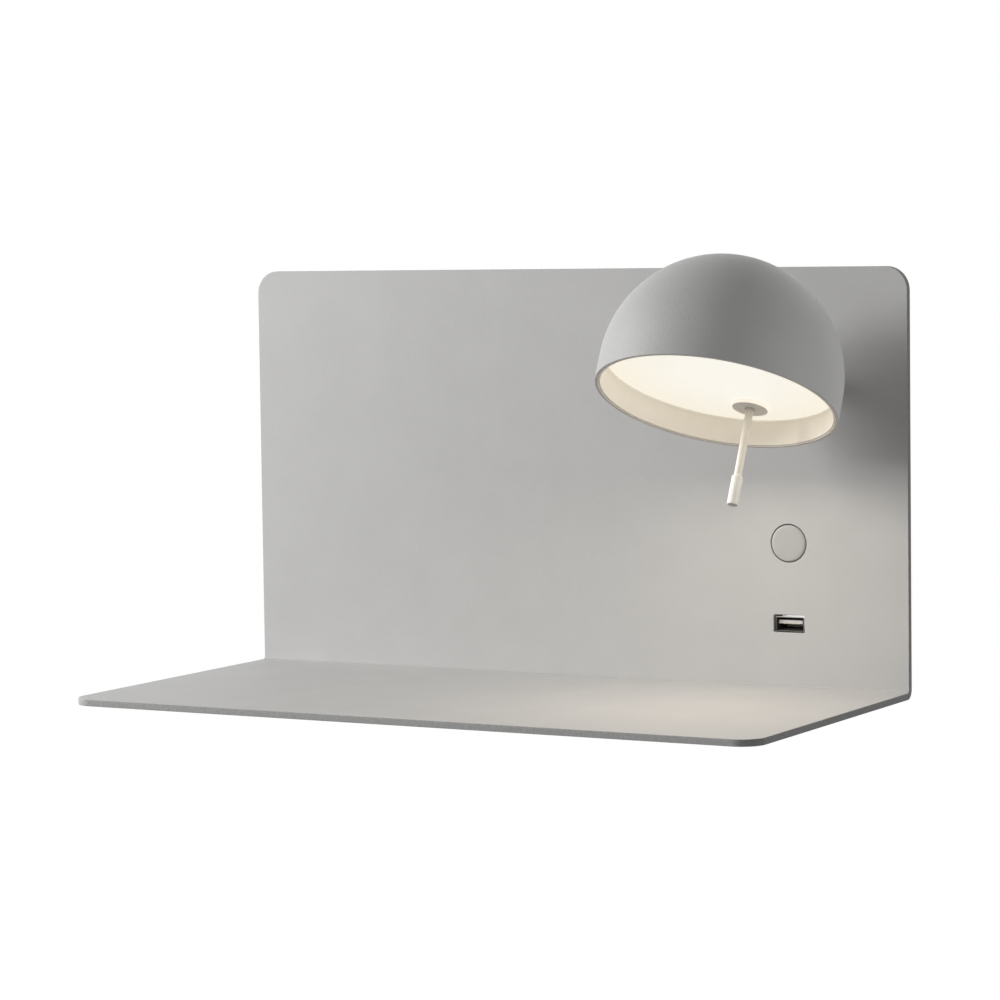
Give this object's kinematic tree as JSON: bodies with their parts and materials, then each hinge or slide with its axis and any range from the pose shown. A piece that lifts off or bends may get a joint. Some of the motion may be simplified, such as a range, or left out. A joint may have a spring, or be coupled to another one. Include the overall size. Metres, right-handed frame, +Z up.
{
  "type": "wall lamp with shelf",
  "caption": "Folded sheet shelf for a wall, with a tilting and swivelling dome reading lamp, a push button and a USB socket in its upright.",
  "frame": {"origin": "on the wall, in the middle of the wall bracket's rear face", "axes": "+X to the right of someone facing the lamp, along the shelf; +Y into the wall; +Z up"},
  "size_m": [0.35, 0.1967, 0.2055],
  "materials": {
    "panel_coat": "matte",
    "frame_coat": "matte",
    "zinc": "satin",
    "steel": "satin",
    "black_rubber": "matte",
    "terminal_plastic": "matte",
    "brass": "satin",
    "driver_case": "matte",
    "dark_lead": "satin",
    "pale_lead": "satin",
    "red_lead": "satin",
    "socket_metal": "satin",
    "socket_plastic": "satin",
    "board_green": "satin",
    "black_plastic": "matte",
    "button_coat": "satin",
    "friction_fibre": "matte",
    "arm_coat": "matte",
    "yoke_cast": "matte",
    "shade_coat": "matte",
    "liner_white": "satin",
    "opal": "satin",
    "tray_aluminium": "satin",
    "board_white": "satin",
    "led_yellow": "satin",
    "cap_coat": "satin",
    "stick_ivory": "satin"
  },
  "bodies": {
    "wall_unit": {"shelf_panel": "panel_coat", "rear_frame": "frame_coat", "panel_studs": "zinc", "stud_nuts": "zinc", "wall_bracket": "zinc", "frame_screws": "zinc", "cable_grommet": "black_rubber", "terminal_block": "terminal_plastic", "terminal_screws": "brass", "earth_stud": "brass", "earth_nut": "brass", "led_driver": "driver_case", "mains_lead": "dark_lead", "lamp_lead": "pale_lead", "switch_lead": "red_lead", "usb_lead": "dark_lead", "usb_shell": "socket_metal", "usb_tongue": "socket_plastic", "usb_contacts": "brass", "usb_board": "board_green", "usb_parts": "black_plastic", "usb_bracket": "zinc", "usb_screws": "zinc", "switch_bracket": "zinc", "switch_body": "black_plastic", "arm_bush": "black_plastic", "friction_ring": "friction_fibre", "stop_peg": "zinc"},
    "arm": {"arm_tube": "arm_coat", "tilt_tongue": "steel", "stop_washer": "zinc", "wave_washer": "zinc", "arm_nut": "zinc", "arm_lead": "pale_lead"},
    "head": {"tilt_yoke": "yoke_cast", "tilt_bolt": "steel", "friction_discs": "friction_fibre", "spring_washer": "zinc", "tilt_nut": "zinc", "shade_shell": "shade_coat", "shade_liner": "liner_white", "diffuser": "opal", "led_tray": "tray_aluminium", "led_board": "board_white", "leds": "led_yellow", "tray_screws": "zinc", "yoke_screws": "zinc", "head_lead": "pale_lead", "stick_cap": "cap_coat", "stick_rod": "stick_ivory", "stick_grip": "stick_ivory"},
    "button": {"button_cap": "button_coat", "button_plunger": "black_plastic"}
  },
  "joints": [
    {"name": "arm_swivel", "type": "hinge", "parent": "wall_unit", "child": "arm", "pos_m": [0.115, -0.045, 0.0552], "axis": [0, 1, 0], "range_deg": [-150, 150]},
    {"name": "head_tilt", "type": "hinge", "parent": "arm", "child": "head", "pos_m": [0.115, -0.0626, 0.0552], "axis": [1, 0, 0], "range_deg": [-40, 25], "deforming": ["head_lead"]},
    {"name": "button_push", "type": "slide", "parent": "wall_unit", "child": "button", "axis": [0, 1, 0], "range_m": [0, 0.0012], "stiffness_N_per_m": 1500, "springref_m": -0.001}
  ]
}
